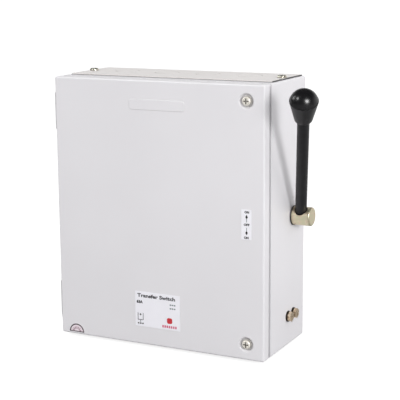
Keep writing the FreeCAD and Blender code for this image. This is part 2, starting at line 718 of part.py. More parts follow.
save_lowered("switch_shaft", [make_switch_shaft()])
save_lowered("rotor_sleeve", [make_rotor_sleeve()])
save_lowered("index_cam", [make_index_cam()])
circlip_start = Vector(bearing_left[0] - 1.5, shaft_y, 0)
save_lowered("shaft_circlip", [tube(circlip_start, X_AXIS, 7.5, journal_radius, 1.2)])
save_lowered("handle_hub", [make_handle_hub()])
save_lowered("handle_rod", [make_handle_rod()])
save_lowered("handle_knob", [make_handle_knob()])
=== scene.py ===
import json
import math

import bmesh
import bpy
from mathutils import Matrix, Vector


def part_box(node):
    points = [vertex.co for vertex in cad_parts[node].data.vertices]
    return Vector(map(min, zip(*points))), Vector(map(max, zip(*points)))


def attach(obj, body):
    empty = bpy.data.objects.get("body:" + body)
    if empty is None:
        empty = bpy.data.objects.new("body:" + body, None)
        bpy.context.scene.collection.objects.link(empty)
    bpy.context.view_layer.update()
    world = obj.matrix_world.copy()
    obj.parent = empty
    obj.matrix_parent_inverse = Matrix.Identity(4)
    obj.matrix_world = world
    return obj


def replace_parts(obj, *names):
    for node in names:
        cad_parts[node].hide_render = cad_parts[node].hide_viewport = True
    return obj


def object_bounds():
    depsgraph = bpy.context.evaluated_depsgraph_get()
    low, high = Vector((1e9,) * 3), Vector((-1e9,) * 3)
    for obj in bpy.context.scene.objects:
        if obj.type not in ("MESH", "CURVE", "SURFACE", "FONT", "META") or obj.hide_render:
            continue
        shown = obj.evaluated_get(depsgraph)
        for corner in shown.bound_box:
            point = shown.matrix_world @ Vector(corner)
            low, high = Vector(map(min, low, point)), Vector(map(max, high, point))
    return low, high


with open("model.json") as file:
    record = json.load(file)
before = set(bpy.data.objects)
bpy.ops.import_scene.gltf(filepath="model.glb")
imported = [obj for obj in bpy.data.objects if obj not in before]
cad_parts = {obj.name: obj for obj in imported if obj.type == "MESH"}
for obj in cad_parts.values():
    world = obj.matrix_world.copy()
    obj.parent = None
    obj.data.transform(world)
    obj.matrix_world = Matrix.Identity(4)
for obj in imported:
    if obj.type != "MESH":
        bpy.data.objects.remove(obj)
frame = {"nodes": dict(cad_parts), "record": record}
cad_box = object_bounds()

# Looks of a wall-mounted manual changeover switch: enamelled steel case, plated fasteners,
# black handle, printed labels. Lengths are in metres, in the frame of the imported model.

MM, MICRON = 1e-3, 1e-6
CASE, DOOR, ROTOR = "case", "door", "rotor"
NOISE_RANGE = (0.3, 0.7)  # most of a noise lies in this range
WHITE = (1.0, 1.0, 1.0, 1.0)


# ---------------------------------------------------------------- material building
class Nodes:
    """A tree of shader nodes."""

    def __init__(self, tree):
        self.tree = tree

    def put(self, value, socket):
        """Links a node's output to the socket, or sets a plain value on it."""
        if isinstance(value, bpy.types.NodeSocket):
            self.tree.links.new(value, socket)
        else:
            socket.default_value = value

    def node(self, kind, inputs=None, **settings):
        made = self.tree.nodes.new("ShaderNode" + kind)
        for name, value in settings.items():
            setattr(made, name, value)
        for name, value in (inputs or {}).items():
            self.put(value, made.inputs[name])
        return made

    def level(self, factor, source, target):
        """Maps the range source of factor to the range target, and holds it there."""
        ends = {"From Min": source[0], "From Max": source[1],
                "To Min": target[0], "To Max": target[1]}
        return self.node("MapRange", {"Value": factor, **ends}).outputs["Result"]

    def maths(self, operation, first, second):
        return self.node("Math", {0: first, 1: second}, operation=operation).outputs[0]

    def times(self, first, second):
        return self.maths("MULTIPLY", first, second)

    def along(self, vector, axis):
        """One coordinate of a vector."""
        return self.node("SeparateXYZ", {0: vector}).outputs[axis]

    def blend(self, factor, first, second):
        """Shader that is first where factor is 0 and second where it is 1."""
        return self.node("MixShader", {0: factor, 1: first, 2: second}).outputs[0]


class Surface(Nodes):
    """A procedural material: a Principled shader, and the nodes that vary it over the surface."""

    def __init__(self, name, metallic=0.0, **fixed):
        self.material = bpy.data.materials.new(name)
        self.material.use_nodes = True
        super().__init__(self.material.node_tree)
        self.shader = self.tree.nodes["Principled BSDF"]
        self.shader.inputs["Metallic"].default_value = metallic
        for socket, value in fixed.items():
            self.shader.inputs[socket.replace("_", " ")].default_value = value
        self.place = self.node("TexCoord").outputs["Object"]

    def noise(self, scale, detail=2.0, stretch=(1, 1, 1), distortion=0.0):
        """Fractal noise from 0 to 1, with scale cycles per metre."""
        place = self.node("Mapping", {"Vector": self.place, "Scale": stretch}).outputs["Vector"]
        inputs = {"Vector": place, "Scale": scale, "Detail": detail, "Distortion": distortion}
        return self.node("TexNoise", inputs).outputs["Fac"]

    def cells(self, scale):
        """Distance to the nearest point of a random scatter."""
        return self.node("TexVoronoi", {"Vector": self.place, "Scale": scale}).outputs[0]

    def ramp(self, factor, *stops):
        """Colour that changes with factor. Each stop is (position, colour)."""
        made = self.node("ValToRGB", {"Fac": factor})
        elements = made.color_ramp.elements
        while len(elements) < len(stops):
            elements.new(0.5)
        for element, (position, colour) in zip(elements, stops):
            element.position = position
            element.color = (*colour, 1.0)
        return made.outputs["Color"]

    def mottle(self, noise, low, high):
        """Colour between low and high that follows a noise."""
        return self.ramp(noise, (NOISE_RANGE[0], low), (NOISE_RANGE[1], high))

    def over(self, below, share, colour):
        """Lays a colour over another one, share of it."""
        made = self.node("Mix", {0: share, 6: below, 7: (*colour, 1.0)}, data_type="RGBA")
        return made.outputs[2]

    def crevice(self, distance):
        """Mask for painted shade: 1 deep in a corner or under an edge, 0 in the open."""
        open_share = self.node("AmbientOcclusion", {"Distance": distance}, samples=8).outputs["AO"]
        return self.level(open_share, (0.35, 0.9), (1.0, 0.0))

    def soft_edges(self, radius):
        """The normal, rounded over sharp edges."""
        return self.node("Bevel", {"Radius": radius}, samples=6).outputs["Normal"]

    def edge(self, radius):
        """1 on a sharp edge, 0 on a flat face."""
        true = self.node("NewGeometry").outputs["Normal"]
        same = self.node("VectorMath", {0: self.soft_edges(radius), 1: true},
                         operation="DOT_PRODUCT").outputs["Value"]
        return self.level(same, (0.99, 0.8), (0.0, 1.0))

    def bump(self, height, distance, below=None):
        """Relief of the given height. below is a normal to lie on."""
        inputs = {"Height": height, "Distance": distance, "Strength": 1.0}
        if below is not None:
            inputs["Normal"] = below
        return self.node("Bump", inputs).outputs["Normal"]

    def finish(self, colour, roughness, normal=None):
        self.put(colour, self.shader.inputs["Base Color"])
        self.put(roughness, self.shader.inputs["Roughness"])
        if normal is not None:
            self.put(normal, self.shader.inputs["Normal"])
        return self.material


def grey(level):
    return (level, level, level)


def scaled(colour, share):
    """Colour with every channel times share."""
    return tuple(channel * share for channel in colour)


def tinted(colour, tint):
    """Colour with each channel times the tint's."""
    return tuple(channel * share for channel, share in zip(colour, tint))


# ---------------------------------------------------------------- materials
def enamel(name, tone):
    """Powder coat: fine orange peel, faint clouding, painted shade in the corners, thin at the
    edges.
    """
    s = Surface(name)
    dust_and_shade, thin_coat = (0.40, 0.37, 0.34), (0.60, 0.58, 0.57)
    base = s.mottle(s.noise(7.0), scaled(tone, 0.963), tone)
    # painted shade: the corners, dimples and gaps between parts are darkened
    base = s.over(base, s.times(s.crevice(3 * MM), 0.30), dust_and_shade)
    worn = s.level(s.noise(420.0), (0.45, 0.7), (0.05, 0.5))
    base = s.over(base, s.times(s.edge(0.7 * MM), worn), thin_coat)
    roughness = s.level(s.noise(45.0, 4.0), NOISE_RANGE, (0.33, 0.43))
    normal = s.bump(s.noise(520.0, 1.0), 30 * MICRON, s.soft_edges(0.5 * MM))
    return s.finish(base, roughness, normal)


def yellow_zinc(name, dark, pale, shade_reach, roughness_range=(0.30, 0.46)):
    """Zinc plate with a yellow passivate that drifts towards green and pink.

    Its distance argument is how far the painted shade in its corners reaches.
    """
    s = Surface(name, metallic=1.0)
    hollow_shade, rubbed = (0.09, 0.05, 0.03), (0.80, 0.78, 0.70)
    green, pink = tinted(pale, (0.90, 0.99, 0.93)), tinted(pale, (1.02, 0.92, 0.98))
    drift = s.noise(160.0, 3.0, distortion=0.6)
    base = s.ramp(drift, (0.25, dark), (0.45, pale), (0.58, green), (0.72, pink))
    # painted shade darkens the corners and hollows
    base = s.over(base, s.times(s.crevice(shade_reach), 0.8), hollow_shade)
    base = s.over(base, s.times(s.edge(0.3 * MM), 0.35), rubbed)
    roughness = s.level(s.noise(600.0, 4.0), NOISE_RANGE, roughness_range)
    normal = s.bump(s.noise(2600.0, 2.0), 8 * MICRON, s.soft_edges(0.35 * MM))
    return s.finish(base, roughness, normal)


SIDE_SHADE_REACH = (1.6 * MM, 2.6 * MM)  # out from the case's side: where the painted shade thins, where it ends


def brown_zinc(name):
    """Brown-passivated zinc for the earth bolts, with black painted shade near the case's side."""
    s = Surface(name, metallic=1.0)
    brown, tan, straw = (0.45, 0.32, 0.20), (0.86, 0.69, 0.49), (0.97, 0.87, 0.71)
    side_shade = (0.022, 0.016, 0.014)
    case_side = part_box("earth_washers")[0].x
    thins, ends = (case_side + reach for reach in SIDE_SHADE_REACH)
    mottle = s.noise(420.0, 3.0, distortion=0.8)
    base = s.ramp(mottle, (0.32, brown), (0.5, tan), (0.68, straw))
    # painted shade: black over the washers and the foot of the bolt heads, next to the case's side
    place_x = s.along(s.node("NewGeometry").outputs["Position"], "X")
    side_shaded = s.level(place_x, (thins, ends), (0.95, 0.0))
    base = s.over(base, side_shaded, side_shade)
    roughness = s.level(mottle, NOISE_RANGE, (0.50, 0.34))
    return s.finish(base, roughness, s.bump(mottle, 60 * MICRON, s.soft_edges(0.3 * MM)))


def bright_zinc(name):
    """Clear-passivated zinc plate: bluish white, with a faint spangle."""
    s = Surface(name, metallic=1.0)
    dull, clear, hollow_shade = (0.62, 0.61, 0.61), (0.76, 0.75, 0.75), (0.09, 0.075, 0.065)
    base = s.mottle(s.noise(240.0, 3.0), dull, clear)
    # painted shade darkens the corners and hollows
    base = s.over(base, s.times(s.crevice(1.5 * MM), 0.75), hollow_shade)
    roughness = s.level(s.cells(900.0), (0.0, 0.8), (0.26, 0.42))
    normal = s.bump(s.noise(2200.0, 2.0), 8 * MICRON, s.soft_edges(0.3 * MM))
    return s.finish(base, roughness, normal)


def pale_plate(name, tone, shade_reach):
    """Satin nickel-white plate: part mirror, part milky, with painted shade where it meets other
    parts.
    """
    s = Surface(name, metallic=0.25)
    hollow_shade, rubbed = (0.10, 0.085, 0.07), (0.90, 0.88, 0.84)
    base = s.mottle(s.noise(300.0, 3.0), scaled(tone, 0.93), tone)
    # painted shade where the plate meets other parts
    base = s.over(base, s.times(s.crevice(shade_reach), 0.9), hollow_shade)
    base = s.over(base, s.times(s.edge(0.2 * MM), 0.3), rubbed)
    roughness = s.level(s.noise(700.0, 3.0), NOISE_RANGE, (0.34, 0.46))
    normal = s.bump(s.noise(2200.0, 2.0), 8 * MICRON, s.soft_edges(0.3 * MM))
    return s.finish(base, roughness, normal)


def bare_steel(name):
    """Cold-drawn steel with drawing lines along X, and brown painted shade in its hollows."""
    s = Surface(name, metallic=1.0)
    dark, bright, brown_hollow_shade = (0.42, 0.42, 0.43), (0.58, 0.58, 0.59), (0.12, 0.09, 0.06)
    lines = s.noise(1500.0, 3.0, stretch=(0.02, 1, 1))
    base = s.mottle(lines, dark, bright)
    # painted shade darkens the hollows brown
    base = s.over(base, s.times(s.crevice(3 * MM), 0.5), brown_hollow_shade)
    roughness = s.level(s.noise(60.0, 3.0), NOISE_RANGE, (0.24, 0.40))
    return s.finish(base, roughness, s.bump(lines, 12 * MICRON, s.soft_edges(0.3 * MM)))


def spring_steel(name):
    """Blued strip: straw to blue temper colours."""
    s = Surface(name, metallic=1.0)
    blue, slate, straw = (0.16, 0.17, 0.25), (0.24, 0.25, 0.33), (0.36, 0.30, 0.22)
    temper = s.noise(70.0, 3.0, distortion=0.8)
    base = s.ramp(temper, (0.3, blue), (0.55, slate), (0.75, straw))
    roughness = s.level(s.noise(900.0), NOISE_RANGE, (0.28, 0.42))
    normal = s.bump(s.noise(1500.0), 8 * MICRON, s.soft_edges(0.2 * MM))
    return s.finish(base, roughness, normal)


def copper(name):
    """Drawn copper, a little tarnished, rubbed bright at the edges."""
    s = Surface(name, metallic=1.0)
    brown, fresh, light = (0.50, 0.26, 0.16), (0.78, 0.44, 0.30), (0.86, 0.54, 0.39)
    rubbed, hollow_shade = (0.93, 0.64, 0.48), (0.20, 0.09, 0.05)
    tarnish = s.noise(90.0, 5.0, distortion=0.5)
    base = s.ramp(tarnish, (0.3, brown), (0.55, fresh), (0.75, light))
    base = s.over(base, s.times(s.edge(0.4 * MM), 0.5), rubbed)
    # painted shade darkens the corners and hollows
    base = s.over(base, s.times(s.crevice(3 * MM), 0.6), hollow_shade)
    lines = s.noise(1800.0, 2.0, stretch=(1, 1, 0.05))
    roughness = s.level(tarnish, (0.3, 0.75), (0.42, 0.24))
    return s.finish(base, roughness, s.bump(lines, 10 * MICRON, s.soft_edges(0.3 * MM)))


def moulding(name, dark, light, grain, roughness_range):
    """Filled thermoset or nylon: fine mottle, matt skin, pale rubbed edges, painted shade in the
    corners.
    """
    s = Surface(name)
    rubbed, dust_and_shade = tuple(0.25 + 0.6 * channel for channel in light), (0.30, 0.28, 0.25)
    base = s.mottle(s.noise(grain, 4.0), dark, light)
    base = s.over(base, s.times(s.edge(0.4 * MM), 0.3), rubbed)
    # painted shade darkens the corners
    base = s.over(base, s.times(s.crevice(4 * MM), 0.35), dust_and_shade)
    roughness = s.level(s.noise(500.0, 3.0), NOISE_RANGE, roughness_range)
    normal = s.bump(s.noise(1400.0, 2.0), 20 * MICRON, s.soft_edges(0.4 * MM))
    return s.finish(base, roughness, normal)


def pressboard(name):
    """Cream pressboard: short matted fibres and fine specks."""
    s = Surface(name)
    low, middle, high = (0.66, 0.59, 0.47), (0.71, 0.65, 0.53), (0.75, 0.69, 0.58)
    speck = (0.48, 0.40, 0.29)
    fibres = s.noise(1600.0, 3.0, stretch=(1, 0.5, 0.7), distortion=0.8)
    base = s.ramp(fibres, (0.3, low), (0.55, middle), (0.75, high))
    base = s.over(base, s.level(s.cells(620.0), (0.06, 0.10), (0.4, 0.0)), speck)
    roughness = s.level(fibres, NOISE_RANGE, (0.62, 0.48))
    return s.finish(base, roughness, s.bump(fibres, 30 * MICRON, s.soft_edges(0.3 * MM)))


def stove_enamel(name):
    """Black stove enamel on the handle's rod: semi-gloss with faint runs and dust."""
    s = Surface(name, Specular_IOR_Level=0.38)
    deep, thin, dust_and_shade = (0.006, 0.006, 0.007), (0.011, 0.011, 0.013), (0.07, 0.07, 0.075)
    base = s.mottle(s.noise(120.0, 4.0), deep, thin)
    base = s.over(base, s.level(s.noise(900.0, 5.0), (0.62, 0.8), (0.0, 0.25)), dust_and_shade)
    roughness = s.level(s.noise(200.0, 3.0), NOISE_RANGE, (0.36, 0.48))
    normal = s.bump(s.noise(380.0), 40 * MICRON, s.soft_edges(0.5 * MM))
    return s.finish(base, roughness, normal)


def phenolic(name, roughness_range, peel):
    """Black phenolic moulding with faint flow marks and fine scratches.

    peel is the height of the relief of its skin.
    """
    s = Surface(name)
    deep, brown, scratch = (0.003, 0.003, 0.0035), (0.007, 0.0065, 0.008), (0.07, 0.07, 0.08)
    flow = s.noise(60.0, 4.0, distortion=1.0)
    base = s.mottle(flow, deep, brown)
    scratches = s.noise(2600.0, 1.0, stretch=(1, 0.08, 0.3), distortion=0.2)
    base = s.over(base, s.level(scratches, (0.68, 0.8), (0.0, 0.2)), scratch)
    roughness = s.level(flow, NOISE_RANGE, roughness_range)
    return s.finish(base, roughness, s.bump(s.noise(300.0), peel, s.soft_edges(0.4 * MM)))


def foam(name):
    """Closed-cell foam: an open, pitted skin."""
    s = Surface(name)
    pit, wall = (0.030, 0.030, 0.032), (0.085, 0.085, 0.09)
    cells = s.cells(1500.0)
    base = s.ramp(cells, (0.0, pit), (0.6, wall))
    return s.finish(base, s.level(cells, (0.0, 0.6), (0.95, 0.75)), s.bump(cells, 250 * MICRON))


def label_film(name, tone):
    """Printed polyester film: faint mottle, a satin skin and dusty edges."""
    s = Surface(name)
    dust_and_shade, paler = (0.45, 0.42, 0.42), scaled(tone, 1.03)
    base = s.mottle(s.noise(60.0, 3.0), tone, paler)
    base = s.over(base, s.times(s.edge(0.4 * MM), 0.25), dust_and_shade)
    roughness = s.level(s.noise(300.0), NOISE_RANGE, (0.28, 0.38))
    return s.finish(base, roughness, s.bump(s.noise(1100.0), 6 * MICRON))


def ink(name, colour):
    """Screen-printed ink: slightly uneven coverage."""
    s = Surface(name)
    paler = tuple(0.9 * channel + 0.03 for channel in colour)
    base = s.ramp(s.noise(2500.0, 2.0), (0.35, colour), (0.75, paler))
    roughness = s.level(s.noise(800.0), NOISE_RANGE, (0.38, 0.5))
    return s.finish(base, roughness, s.bump(s.noise(3000.0), 4 * MICRON))


WARM_ENAMEL = enamel("warm_white_powder_coat", (0.810, 0.778, 0.764))
# A darker copy of the white coat: painted shade on the hinges.
SHADED_HINGE_ENAMEL = enamel("shaded_hinge_powder_coat", (0.60, 0.59, 0.61))
BROWN_ZINC = brown_zinc("brown_zinc_plate")
SCREW_PLATE = pale_plate("cream_plate", (0.90, 0.86, 0.78), shade_reach=3 * MM)
WASHER_PLATE = pale_plate("white_plate", (0.86, 0.84, 0.82), shade_reach=2 * MM)
GLOSSY_BLACK = phenolic("glossy_phenolic", (0.25, 0.31), peel=3 * MICRON)
SATIN_BLACK = phenolic("satin_phenolic", (0.34, 0.44), peel=20 * MICRON)
BLACK_NYLON = moulding("black_nylon", grey(0.012), grey(0.022), 900.0, (0.40, 0.52))
FOAM = foam("closed_cell_foam")
BLACK_INK = ink("black_ink", (0.010, 0.009, 0.013))
GREY_INK = ink("grey_ink", (0.16, 0.20, 0.21))
RED_INK = ink("red_ink", (0.60, 0.02, 0.03))
ROSE_INK = ink("rose_ink", (0.66, 0.10, 0.20))
PLUM_INK = ink("plum_ink", (0.035, 0.018, 0.030))
PINK_INK = ink("pink_ink", (0.42, 0.28, 0.34))

SLOT_MATERIALS = {
    "enamel": enamel("white_powder_coat", (0.800, 0.786, 0.812)),
    "yellow_zinc": yellow_zinc("yellow_zinc_plate", (0.46, 0.36, 0.20), (0.74, 0.62, 0.42),
                               shade_reach=2 * MM),
    "bright_zinc": bright_zinc("bright_zinc_plate"),
    "bare_steel": bare_steel("drawn_steel"),
    "spring_steel": spring_steel("blued_spring_steel"),
    "copper": copper("drawn_copper"),
    "moulding": moulding("black_thermoset", (0.020, 0.019, 0.018), (0.034, 0.032, 0.030),
                         700.0, (0.42, 0.6)),
    "red_moulding": moulding("brown_red_sleeve", (0.20, 0.028, 0.018), (0.27, 0.045, 0.028),
                             500.0, (0.4, 0.55)),
    "nylon": BLACK_NYLON,
    "barrier": pressboard("cream_pressboard"),
    "black_rod": stove_enamel("black_stove_enamel"),
    "black_knob": GLOSSY_BLACK,
    "foam": FOAM,
    "label": label_film("white_label_film", (0.89, 0.88, 0.93)),
}
NODE_MATERIALS = {
    "door_hinge_leaves": SHADED_HINGE_ENAMEL,
    "case_hinge_leaves": SHADED_HINGE_ENAMEL,
    "top_gland_plate": WARM_ENAMEL,
    "bottom_gland_plate": WARM_ENAMEL,
    # The hub's painted shade reaches far, darkening it round the rod's root.
    "handle_hub": yellow_zinc("pale_zinc_plate", (0.57, 0.44, 0.28), (0.84, 0.74, 0.55),
                              shade_reach=6 * MM, roughness_range=(0.34, 0.46)),
    "gland_plate_screws": yellow_zinc("straw_zinc_plate", (0.62, 0.55, 0.40), (0.97, 0.93, 0.82),
                                      shade_reach=3 * MM, roughness_range=(0.24, 0.34)),
    "upper_door_screw": SCREW_PLATE,
    "lower_door_screw": SCREW_PLATE,
    "upper_screw_washer": WASHER_PLATE,
    "lower_screw_washer": WASHER_PLATE,
    "earth_bolts": BROWN_ZINC,
    "earth_washers": BROWN_ZINC,
    "quality_badge": label_film("pink_label_film", (0.84, 0.74, 0.79)),
}


def paint_frame():
    """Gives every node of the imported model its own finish, or else the finish of its slot."""
    for part in frame["record"]["subparts"]:
        node = part["node"]
        material = NODE_MATERIALS.get(node, SLOT_MATERIALS[part["material_slot"]])
        for slot in frame["nodes"][node].material_slots:
            slot.material = material


# ---------------------------------------------------------------- mesh building
CREASE_ANGLE = math.radians(35)


def add_object(name, data):
    """Links a new object to the scene."""
    made = bpy.data.objects.new(name, data)
    bpy.context.scene.collection.objects.link(made)
    return made


def add_piece(mesh, material, body):
    """Links a mesh as a piece of the same name that rides on a body."""
    piece = add_object(mesh.name, mesh)
    mesh.materials.clear()
    mesh.materials.append(material)
    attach(piece, body)
    return piece


def mesh_from(bm, name):
    """Turns a bmesh into a mesh, and frees it."""
    mesh = bpy.data.meshes.new(name)
    bm.to_mesh(mesh)
    bm.free()
    return mesh


def steps_round(count, start=0.0, turn=math.tau):
    """Equal angles from start, with the end of the turn left out."""
    return [start + turn * i / count for i in range(count)]


def turned_mesh(name, outline, place, steps):
    """Smooth mesh turned about Z from (radius, height) points, moved by the matrix place."""
    bm = bmesh.new()
    rings = []
    for radius, height in outline:
        angles = steps_round(steps) if radius > 0.0 else [0.0]
        rings.append([bm.verts.new((radius * math.cos(a), radius * math.sin(a), height))
                      for a in angles])
    for low, high in zip(rings, rings[1:]):
        for step in range(steps):
            after = (step + 1) % steps
            if len(low) == 1:
                bm.faces.new((low[0], high[step], high[after]))
            elif len(high) == 1:
                bm.faces.new((low[step], high[0], low[after]))
            else:
                bm.faces.new((low[step], high[step], high[after], low[after]))
    bmesh.ops.recalc_face_normals(bm, faces=bm.faces)
    mesh = mesh_from(bm, name)
    mesh.transform(place)
    mesh.polygons.foreach_set("use_smooth", [True] * len(mesh.polygons))
    mesh.set_sharp_from_angle(angle=CREASE_ANGLE)
    return mesh


def plate_mesh(name, outline, front, thickness):
    """Flat plate facing -Y from an outline of (x, z) points, with its front face at y = front."""
    bm = bmesh.new()
    rings = [[bm.verts.new((x, y, z)) for x, z in outline] for y in (front, front + thickness)]
    bm.faces.new(rings[0])
    bm.faces.new(reversed(rings[1]))
    count = len(outline)
    for i in range(count):
        after = (i + 1) % count
        bm.faces.new((rings[0][i], rings[1][i], rings[1][after], rings[0][after]))
    bmesh.ops.recalc_face_normals(bm, faces=bm.faces)
    return mesh_from(bm, name)


def box_faces(bm, low, high):
    """Adds a closed box between two corners."""
    corners = [(x, y, z) for x in (low[0], high[0])
               for y in (low[1], high[1]) for z in (low[2], high[2])]
    verts = [bm.verts.new(corner) for corner in corners]
    sides = ((0, 1, 3, 2), (4, 6, 7, 5), (0, 4, 5, 1), (2, 3, 7, 6), (0, 2, 6, 4), (1, 5, 7, 3))
    for side in sides:
        bm.faces.new([verts[i] for i in side])


# ---------------------------------------------------------------- knob
HANDLE_LEAN = math.radians(33.0)    # forward of upright
HANDLE_SPLAY = math.radians(12.85)  # away from the case
ROD_ROOT_X = 138.0 * MM             # where the rod's axis meets the shaft's
# Heights are along the rod, from the top of the skirt's cone.
DOME_RADIUS, DOME_CENTRE, DOME_RIM = 15.1 * MM, -0.5 * MM, 2.95 * MM
DOME_STEPS = 28  # from rim to top
SEAM_RADIUS, SEAM_DEPTH = 14.0 * MM, 2 * MM
# The skirt's outline is in mm, as (radius, height). The cone's rings between its ends keep the
# shading of the lip and the foot off it.
LIP = ((14.3, 2.6), (14.72, 2.88), (14.86, 2.86), (15.0, 2.8), (15.06, 2.65), (15.05, 2.4))
CONE = ((14.98, 2.1), (14.8, 1.2), (14.54, 0.0), (13.6, -4.2), (12.67, -8.3), (11.73, -12.4),
        (10.6, -17.35), (9.48, -22.2))
FOOT = ((9.25, -22.75), (8.88, -23.3), (8.55, -23.6), (8.15, -23.78))
HOLLOW = ((7.2, -23.78), (6.6, -23.7), (6.45, -23.3), (6.45, -16.0), (13.6, 0.0))
SKIRT_OUTLINE = LIP + CONE + FOOT + HOLLOW + LIP[:1]


def knob_place():
    """Matrix whose Z runs up the rod and whose origin is where heights on the knob start."""
    forward, outward = HANDLE_LEAN, HANDLE_SPLAY
    direction = Vector((math.sin(outward), -math.cos(outward) * math.sin(forward),
                        math.cos(outward) * math.cos(forward)))
    shaft = sum(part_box("switch_shaft"), Vector()) / 2
    root = Vector((ROD_ROOT_X, shaft.y, shaft.z))
    dome_centre_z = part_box("handle_knob")[1].z - DOME_RADIUS
    origin = root + direction * ((dome_centre_z - root.z) / direction.z - DOME_CENTRE)
    return Matrix.Translation(origin) @ direction.to_track_quat("Z", "Y").to_matrix().to_4x4()


def build_knob():
    """Glossy dome, and the satin skirt below it."""
    place = knob_place()
    rim_angle = math.asin((DOME_RIM - DOME_CENTRE) / DOME_RADIUS)
    arc = [rim_angle + (math.pi / 2 - rim_angle) * i / DOME_STEPS for i in range(DOME_STEPS)]
    dome = [(0.0, DOME_RIM - SEAM_DEPTH), (SEAM_RADIUS, DOME_RIM - SEAM_DEPTH)]
    dome += [(DOME_RADIUS * math.cos(a), DOME_CENTRE + DOME_RADIUS * math.sin(a)) for a in arc]
    dome.append((0.0, DOME_CENTRE + DOME_RADIUS))
    mesh = turned_mesh("knob_dome", dome, place, steps=96)
    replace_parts(add_piece(mesh, GLOSSY_BLACK, ROTOR), "handle_knob")

    skirt = [(radius * MM, height * MM) for radius, height in SKIRT_OUTLINE]
    mesh = turned_mesh("knob_skirt", skirt, place, steps=128)
    add_piece(mesh, SATIN_BLACK, ROTOR)


# ---------------------------------------------------------------- small additions
WASHER_BORE, WASHER_THICKNESS = 8.2 * MM, 1.4 * MM
WASHER_PROUD = 0.55 * MM   # past the hub's rim, all round, to show as a dark ring of painted shade
WASHER_OFFSET = 0.9 * MM   # from its case side to the hub's end
WASHER_CHAMFER = 0.3 * MM
# Sizes of the dark strips that are painted shadow under the top gland plate's edges.
SHADOW_LIFT, SHADOW_LIP = 0.01 * MM, 0.4 * MM
SHADOW_FRONT_PROUD, SHADOW_FRONT_DEPTH = 0.3 * MM, 4 * MM
SHADOW_SIDE_GAP, SHADOW_SIDE_PROUD, SHADOW_SIDE_DROP = 0.01 * MM, 0.6 * MM, 0.2 * MM


def build_hub_shade_washer():
    """Dark washer between the handle's hub and the case; in part it is painted shade for the gap
    there.
    """
    low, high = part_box("handle_hub")
    centre = Vector((low.x - WASHER_OFFSET, (low.y + high.y) / 2, (low.z + high.z) / 2))
    place = Matrix.Translation(centre) @ Matrix.Rotation(math.pi / 2, 4, "Y")
    bore, rim, top = WASHER_BORE, (high.z - low.z) / 2 + WASHER_PROUD, WASHER_THICKNESS
    outline = [(bore, 0.0), (rim - WASHER_CHAMFER, 0.0), (rim, WASHER_CHAMFER), (rim, top),
               (bore, top), (bore, 0.0)]
    mesh = turned_mesh("hub_shade_washer", outline, place, steps=64)
    add_piece(mesh, BLACK_NYLON, ROTOR)


def build_gland_shadow():
    """Dark foam strips under the edges of the top gland plate: painted shadow, showing as dark
    lines there.
    """
    low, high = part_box("top_gland_plate")
    base, front = low.z + SHADOW_LIFT, low.y - SHADOW_FRONT_PROUD
    bm = bmesh.new()
    box_faces(bm, (low.x, front, base), (high.x, low.y + SHADOW_FRONT_DEPTH, base + SHADOW_LIP))
    box_faces(bm, (high.x + SHADOW_SIDE_GAP, front, base),
              (high.x + SHADOW_SIDE_PROUD, high.y, high.z - SHADOW_SIDE_DROP))
    # painted shadow: a dark sheet where the plate's edges cast only shade
    add_piece(mesh_from(bm, "top_gland_shadow"), FOAM, CASE)


# ---------------------------------------------------------------- printing
INK_THICKNESS = 0.03 * MM
LETTER_DEPTH = 0.01  # of the text curve, before the letters are scaled


class Print:
    """Printing on a label of the door.

    Places and sizes are in mm, right and down from the label's top left corner.
    """

    def __init__(self, label):
        low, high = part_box(label)
        self.label = label
        self.left, self.top, self.front = low.x, high.z, low.y

    def at(self, right, down):
        return self.left + right * MM, self.top - down * MM

    def shape(self, name, points, material):
        """Filled outline."""
        outline = [self.at(*point) for point in points]
        mesh = plate_mesh(self.label + "_" + name, outline, self.front - INK_THICKNESS,
                          INK_THICKNESS)
        add_piece(mesh, material, DOOR)

    def bar(self, name, right, down, material):
        """Rectangle between the limits of two (low, high) pairs."""
        corners = [(right[0], down[0]), (right[1], down[0]),
                   (right[1], down[1]), (right[0], down[1])]
        self.shape(name, corners, material)

    def row(self, name, first, pitch, count, width, down, material):
        """Equal bars side by side, named name_1, name_2 and so on."""
        for number in range(count):
            left = first + pitch * number
            self.bar("%s_%d" % (name, number + 1), (left, left + width), down, material)

    def text(self, name, words, right, down, weight):
        """Black words fitted to the box between two (low, high) pairs.

        weight thickens the strokes, as a share of the letters' size.
        """
        curve = bpy.data.curves.new(name, "FONT")
        curve.body = words
        curve.offset = weight
        curve.resolution_u = 3
        curve.extrude = LETTER_DEPTH
        holder = add_object(name, curve)
        bpy.context.view_layer.update()
        mesh = bpy.data.meshes.new_from_object(holder)
        bpy.data.objects.remove(holder)
        xs, ys, zs = ([vertex.co[axis] for vertex in mesh.vertices] for axis in range(3))
        wide = (right[1] - right[0]) * MM / (max(xs) - min(xs))
        tall = (down[1] - down[0]) * MM / (max(ys) - min(ys))
        left, bottom = self.at(right[0], down[1])
        for vertex in mesh.vertices:
            x, y, z = vertex.co
            depth = (z - min(zs)) / (max(zs) - min(zs)) * INK_THICKNESS
            vertex.co = (left + (x - min(xs)) * wide, self.front - depth,
                         bottom + (y - min(ys)) * tall)
        mesh.name = self.label + "_" + name
        add_piece(mesh, BLACK_INK, DOOR)


def rounded_square(right, down, side, radius):
    """Square with rounded corners about a centre."""
    points = []
    reach, corner_steps = side / 2 - radius, 6
    for quarter in range(4):
        corner = math.pi / 4 + quarter * math.pi / 2
        x = right + math.copysign(reach, math.cos(corner))
        z = down + math.copysign(reach, math.sin(corner))
        for part in range(corner_steps + 1):
            angle = (quarter + part / corner_steps) * math.pi / 2
            points.append((x + radius * math.cos(angle), z + radius * math.sin(angle)))
    return points


def arrow_head(middle, tip, tail):
    """Leaf-shaped head between two heights."""
    half_width, half_tail = 1.45, 0.5
    widest = tip + 0.62 * (tail - tip)
    return [(middle, tip), (middle + half_width, widest), (middle + half_tail, tail),
            (middle - half_tail, tail), (middle - half_width, widest)]


